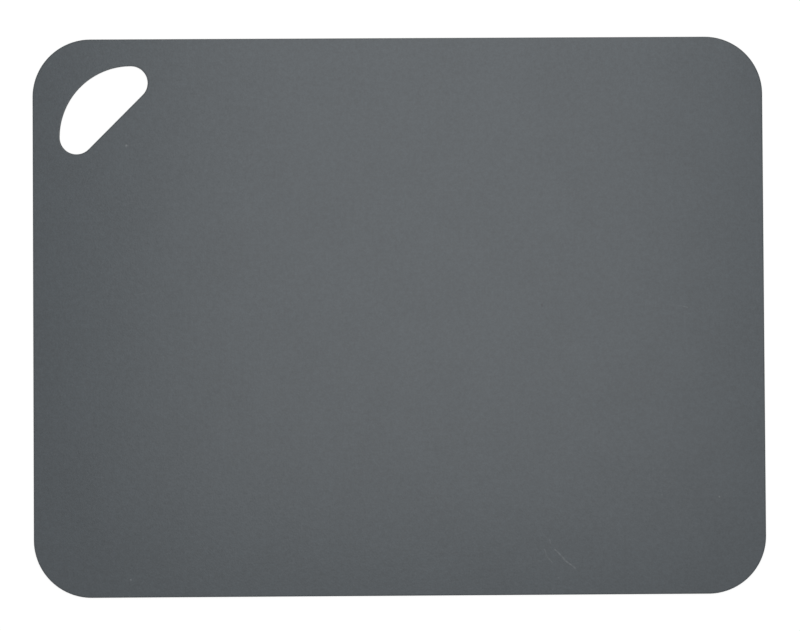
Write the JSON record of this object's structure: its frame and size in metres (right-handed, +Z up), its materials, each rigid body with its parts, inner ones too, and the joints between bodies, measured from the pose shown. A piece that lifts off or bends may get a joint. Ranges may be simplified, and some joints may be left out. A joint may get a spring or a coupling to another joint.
{
  "type": "flexible cutting mat",
  "caption": "Flexible kitchen cutting mat: a thin dark grey sheet with rounded corners and a half-moon hand hole, whose long sides curl up to pour chopped food.",
  "frame": {"origin": "the centre of the underside, which lies on the worktop", "axes": "+X along the length, to the right in the picture; +Y to the rear, towards the long edge beside the hand hole; +Z up out of the cutting face"},
  "size_m": [0.38, 0.29, 0.002],
  "materials": {
    "mat_sheet": "dark bluish grey soft plastic with a fine matt grain"
  },
  "bodies": {
    "front_strip_13": {"front_strip_13": "mat_sheet"},
    "front_strip_12": {"front_strip_12": "mat_sheet"},
    "front_strip_11": {"front_strip_11": "mat_sheet"},
    "front_strip_10": {"front_strip_10": "mat_sheet"},
    "front_strip_9": {"front_strip_9": "mat_sheet"},
    "front_strip_8": {"front_strip_8": "mat_sheet"},
    "front_strip_7": {"front_strip_7": "mat_sheet"},
    "front_strip_6": {"front_strip_6": "mat_sheet"},
    "front_strip_5": {"front_strip_5": "mat_sheet"},
    "front_strip_4": {"front_strip_4": "mat_sheet"},
    "front_strip_3": {"front_strip_3": "mat_sheet"},
    "front_strip_2": {"front_strip_2": "mat_sheet"},
    "front_strip_1": {"front_strip_1": "mat_sheet"},
    "centre_strip": {"centre_strip": "mat_sheet"},
    "rear_strip_1": {"rear_strip_1": "mat_sheet"},
    "rear_strip_2": {"rear_strip_2": "mat_sheet"},
    "rear_strip_3": {"rear_strip_3": "mat_sheet"},
    "rear_strip_4": {"rear_strip_4": "mat_sheet"},
    "rear_strip_5": {"rear_strip_5": "mat_sheet"},
    "rear_strip_6": {"rear_strip_6": "mat_sheet"},
    "rear_strip_7": {"rear_strip_7": "mat_sheet"},
    "rear_strip_8": {"rear_strip_8": "mat_sheet"},
    "rear_strip_9": {"rear_strip_9": "mat_sheet"},
    "rear_strip_10": {"rear_strip_10": "mat_sheet"},
    "rear_strip_11": {"rear_strip_11": "mat_sheet"},
    "rear_strip_12": {"rear_strip_12": "mat_sheet"},
    "rear_strip_13": {"rear_strip_13": "mat_sheet"}
  },
  "joints": [
    {"name": "rear_bend_1", "type": "hinge", "parent": "centre_strip", "child": "rear_strip_1", "pos_m": [0, 0.00543, 0.002], "axis": [1, 0, 0], "range_deg": [0, 12.5], "stiffness_Nm_per_rad": 2.33},
    {"name": "rear_bend_2", "type": "hinge", "parent": "rear_strip_1", "child": "rear_strip_2", "pos_m": [0, 0.01628, 0.002], "axis": [1, 0, 0], "range_deg": [0, 12.5], "stiffness_Nm_per_rad": 2.33},
    {"name": "rear_bend_3", "type": "hinge", "parent": "rear_strip_2", "child": "rear_strip_3", "pos_m": [0, 0.02713, 0.002], "axis": [1, 0, 0], "range_deg": [0, 12.5], "stiffness_Nm_per_rad": 2.33},
    {"name": "rear_bend_4", "type": "hinge", "parent": "rear_strip_3", "child": "rear_strip_4", "pos_m": [0, 0.03799, 0.002], "axis": [1, 0, 0], "range_deg": [0, 12.5], "stiffness_Nm_per_rad": 2.33},
    {"name": "rear_bend_5", "type": "hinge", "parent": "rear_strip_4", "child": "rear_strip_5", "pos_m": [0, 0.04884, 0.002], "axis": [1, 0, 0], "range_deg": [0, 12.5], "stiffness_Nm_per_rad": 2.33},
    {"name": "rear_bend_6", "type": "hinge", "parent": "rear_strip_5", "child": "rear_strip_6", "pos_m": [0, 0.05969, 0.002], "axis": [1, 0, 0], "range_deg": [0, 12.5], "stiffness_Nm_per_rad": 2.33},
    {"name": "rear_bend_7", "type": "hinge", "parent": "rear_strip_6", "child": "rear_strip_7", "pos_m": [0, 0.07055, 0.002], "axis": [1, 0, 0], "range_deg": [0, 12.5], "stiffness_Nm_per_rad": 2.33},
    {"name": "rear_bend_8", "type": "hinge", "parent": "rear_strip_7", "child": "rear_strip_8", "pos_m": [0, 0.0814, 0.002], "axis": [1, 0, 0], "range_deg": [0, 12.5], "stiffness_Nm_per_rad": 2.33},
    {"name": "rear_bend_9", "type": "hinge", "parent": "rear_strip_8", "child": "rear_strip_9", "pos_m": [0, 0.09225, 0.002], "axis": [1, 0, 0], "range_deg": [0, 12.5], "stiffness_Nm_per_rad": 2.35},
    {"name": "rear_bend_10", "type": "hinge", "parent": "rear_strip_9", "child": "rear_strip_10", "pos_m": [0, 0.10292, 0.002], "axis": [1, 0, 0], "range_deg": [0, 12.5], "stiffness_Nm_per_rad": 2.37},
    {"name": "rear_bend_11", "type": "hinge", "parent": "rear_strip_10", "child": "rear_strip_11", "pos_m": [0, 0.11359, 0.002], "axis": [1, 0, 0], "range_deg": [0, 12.5], "stiffness_Nm_per_rad": 2.37},
    {"name": "rear_bend_12", "type": "hinge", "parent": "rear_strip_11", "child": "rear_strip_12", "pos_m": [0, 0.12426, 0.002], "axis": [1, 0, 0], "range_deg": [0, 12.5], "stiffness_Nm_per_rad": 2.41},
    {"name": "rear_bend_13", "type": "hinge", "parent": "rear_strip_12", "child": "rear_strip_13", "pos_m": [0, 0.13463, 0.002], "axis": [1, 0, 0], "range_deg": [0, 12.5], "stiffness_Nm_per_rad": 2.44},
    {"name": "front_bend_1", "type": "hinge", "parent": "centre_strip", "child": "front_strip_1", "pos_m": [0, -0.00543, 0.002], "axis": [-1, 0, 0], "range_deg": [0, 12.5], "stiffness_Nm_per_rad": 2.33},
    {"name": "front_bend_2", "type": "hinge", "parent": "front_strip_1", "child": "front_strip_2", "pos_m": [0, -0.01628, 0.002], "axis": [-1, 0, 0], "range_deg": [0, 12.5], "stiffness_Nm_per_rad": 2.33},
    {"name": "front_bend_3", "type": "hinge", "parent": "front_strip_2", "child": "front_strip_3", "pos_m": [0, -0.02713, 0.002], "axis": [-1, 0, 0], "range_deg": [0, 12.5], "stiffness_Nm_per_rad": 2.33},
    {"name": "front_bend_4", "type": "hinge", "parent": "front_strip_3", "child": "front_strip_4", "pos_m": [0, -0.03799, 0.002], "axis": [-1, 0, 0], "range_deg": [0, 12.5], "stiffness_Nm_per_rad": 2.33},
    {"name": "front_bend_5", "type": "hinge", "parent": "front_strip_4", "child": "front_strip_5", "pos_m": [0, -0.04884, 0.002], "axis": [-1, 0, 0], "range_deg": [0, 12.5], "stiffness_Nm_per_rad": 2.33},
    {"name": "front_bend_6", "type": "hinge", "parent": "front_strip_5", "child": "front_strip_6", "pos_m": [0, -0.05969, 0.002], "axis": [-1, 0, 0], "range_deg": [0, 12.5], "stiffness_Nm_per_rad": 2.33},
    {"name": "front_bend_7", "type": "hinge", "parent": "front_strip_6", "child": "front_strip_7", "pos_m": [0, -0.07055, 0.002], "axis": [-1, 0, 0], "range_deg": [0, 12.5], "stiffness_Nm_per_rad": 2.33},
    {"name": "front_bend_8", "type": "hinge", "parent": "front_strip_7", "child": "front_strip_8", "pos_m": [0, -0.0814, 0.002], "axis": [-1, 0, 0], "range_deg": [0, 12.5], "stiffness_Nm_per_rad": 2.33},
    {"name": "front_bend_9", "type": "hinge", "parent": "front_strip_8", "child": "front_strip_9", "pos_m": [0, -0.09225, 0.002], "axis": [-1, 0, 0], "range_deg": [0, 12.5], "stiffness_Nm_per_rad": 2.35},
    {"name": "front_bend_10", "type": "hinge", "parent": "front_strip_9", "child": "front_strip_10", "pos_m": [0, -0.10292, 0.002], "axis": [-1, 0, 0], "range_deg": [0, 12.5], "stiffness_Nm_per_rad": 2.37},
    {"name": "front_bend_11", "type": "hinge", "parent": "front_strip_10", "child": "front_strip_11", "pos_m": [0, -0.11359, 0.002], "axis": [-1, 0, 0], "range_deg": [0, 12.5], "stiffness_Nm_per_rad": 2.37},
    {"name": "front_bend_12", "type": "hinge", "parent": "front_strip_11", "child": "front_strip_12", "pos_m": [0, -0.12426, 0.002], "axis": [-1, 0, 0], "range_deg": [0, 12.5], "stiffness_Nm_per_rad": 2.41},
    {"name": "front_bend_13", "type": "hinge", "parent": "front_strip_12", "child": "front_strip_13", "pos_m": [0, -0.13463, 0.002], "axis": [-1, 0, 0], "range_deg": [0, 12.5], "stiffness_Nm_per_rad": 2.44}
  ],
  "couplings": [
    {"joint": "rear_bend_2", "follows": "rear_bend_1", "ratio": 1},
    {"joint": "rear_bend_3", "follows": "rear_bend_1", "ratio": 1},
    {"joint": "rear_bend_4", "follows": "rear_bend_1", "ratio": 1},
    {"joint": "rear_bend_5", "follows": "rear_bend_1", "ratio": 1},
    {"joint": "rear_bend_6", "follows": "rear_bend_1", "ratio": 1},
    {"joint": "rear_bend_7", "follows": "rear_bend_1", "ratio": 1},
    {"joint": "rear_bend_8", "follows": "rear_bend_1", "ratio": 1},
    {"joint": "rear_bend_9", "follows": "rear_bend_1", "ratio": 1},
    {"joint": "rear_bend_10", "follows": "rear_bend_1", "ratio": 1},
    {"joint": "rear_bend_11", "follows": "rear_bend_1", "ratio": 1},
    {"joint": "rear_bend_12", "follows": "rear_bend_1", "ratio": 1},
    {"joint": "rear_bend_13", "follows": "rear_bend_1", "ratio": 1},
    {"joint": "front_bend_2", "follows": "front_bend_1", "ratio": 1},
    {"joint": "front_bend_3", "follows": "front_bend_1", "ratio": 1},
    {"joint": "front_bend_4", "follows": "front_bend_1", "ratio": 1},
    {"joint": "front_bend_5", "follows": "front_bend_1", "ratio": 1},
    {"joint": "front_bend_6", "follows": "front_bend_1", "ratio": 1},
    {"joint": "front_bend_7", "follows": "front_bend_1", "ratio": 1},
    {"joint": "front_bend_8", "follows": "front_bend_1", "ratio": 1},
    {"joint": "front_bend_9", "follows": "front_bend_1", "ratio": 1},
    {"joint": "front_bend_10", "follows": "front_bend_1", "ratio": 1},
    {"joint": "front_bend_11", "follows": "front_bend_1", "ratio": 1},
    {"joint": "front_bend_12", "follows": "front_bend_1", "ratio": 1},
    {"joint": "front_bend_13", "follows": "front_bend_1", "ratio": 1}
  ]
}
